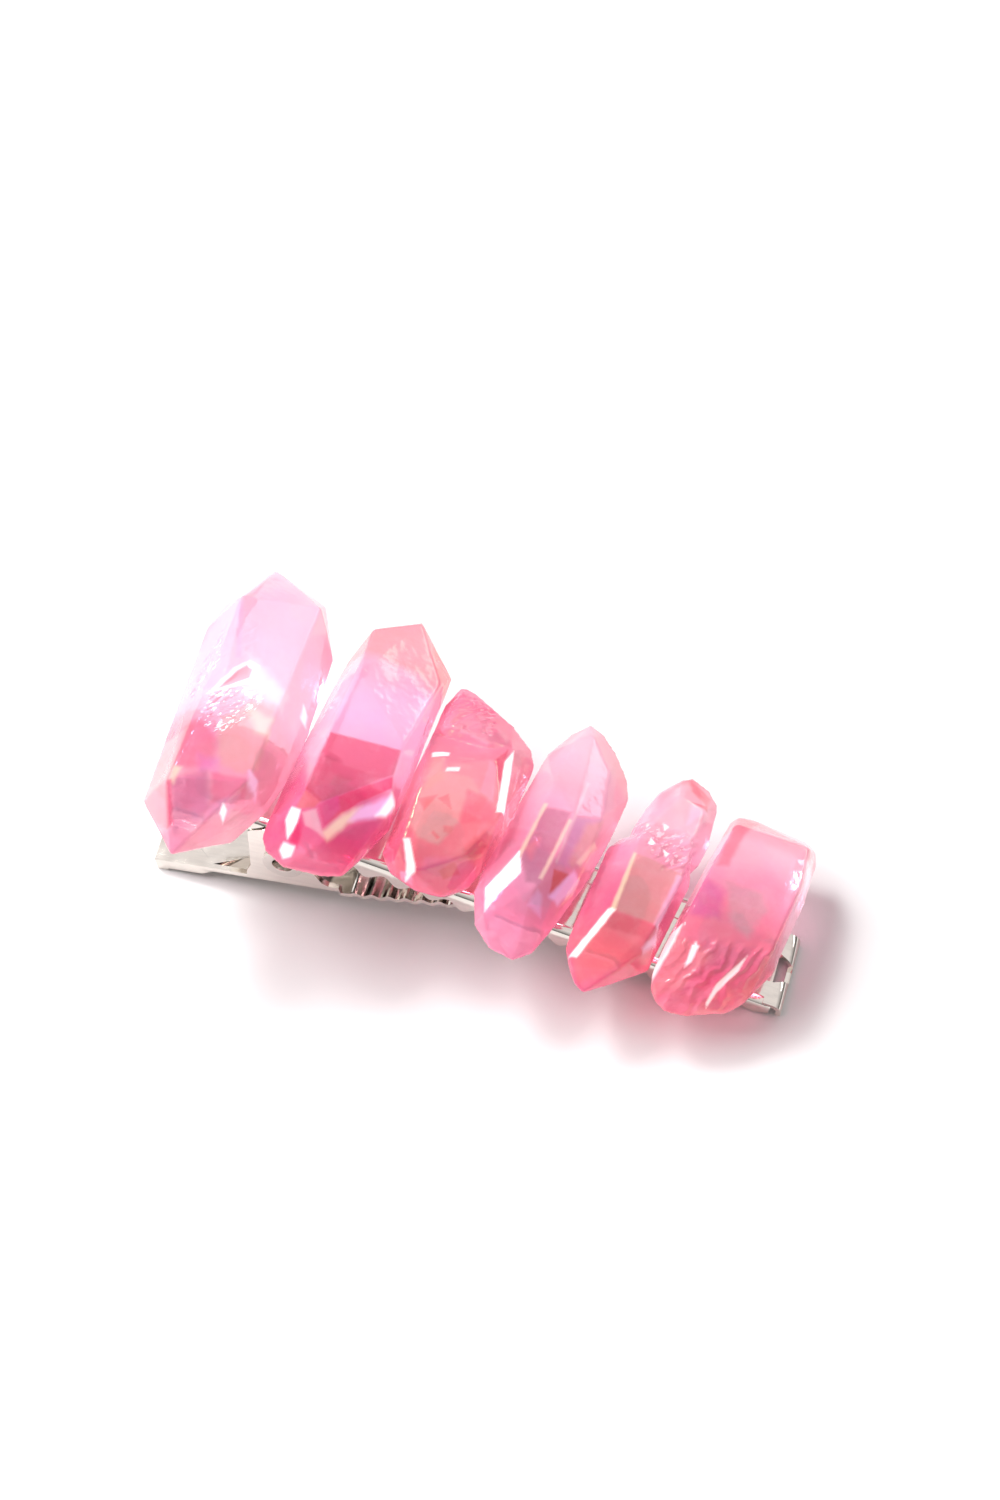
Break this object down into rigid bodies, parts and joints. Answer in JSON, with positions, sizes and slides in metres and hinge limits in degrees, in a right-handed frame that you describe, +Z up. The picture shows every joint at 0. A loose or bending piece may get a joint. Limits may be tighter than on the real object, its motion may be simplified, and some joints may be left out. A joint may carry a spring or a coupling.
{
  "type": "hair clip",
  "caption": "Sprung steel alligator hair clip with a toothed jaw and a row of pink crystal points glued across its upper arm.",
  "frame": {"origin": "middle of the bounding box on the table", "axes": "+X along the clip from the thumb tabs to the tip, +Y across it towards the long ends of the crystals, +Z up from the table; the clip is closed"},
  "size_m": [0.0597, 0.0314, 0.0226],
  "materials": {
    "nickel_plate": "bright nickel plating on stamped steel",
    "rivet": "bright nickel plating, rolled ends",
    "spring_wire": "plain drawn spring wire",
    "crystal": "pink tinted crystal with an iridescent coating",
    "glue": "clear glue"
  },
  "bodies": {
    "lower_clip": {"lower_arm": "nickel_plate", "hinge_rivet": "rivet", "torsion_spring": "spring_wire"},
    "upper_clip": {"top_arm": "nickel_plate", "crystal_1": "crystal", "crystal_2": "crystal", "crystal_3": "crystal", "crystal_4": "crystal", "crystal_5": "crystal", "crystal_6": "crystal", "glue_1": "glue", "glue_2": "glue", "glue_3": "glue", "glue_4": "glue", "glue_5": "glue", "glue_6": "glue"}
  },
  "joints": [
    {"name": "jaw_hinge", "type": "hinge", "parent": "lower_clip", "child": "upper_clip", "pos_m": [-0.01745, -0.00375, 0.0065], "axis": [0, -1, 0], "range_deg": [0, 32], "stiffness_Nm_per_rad": 0.06, "springref_deg": -25.78, "deforming": ["torsion_spring"]}
  ]
}
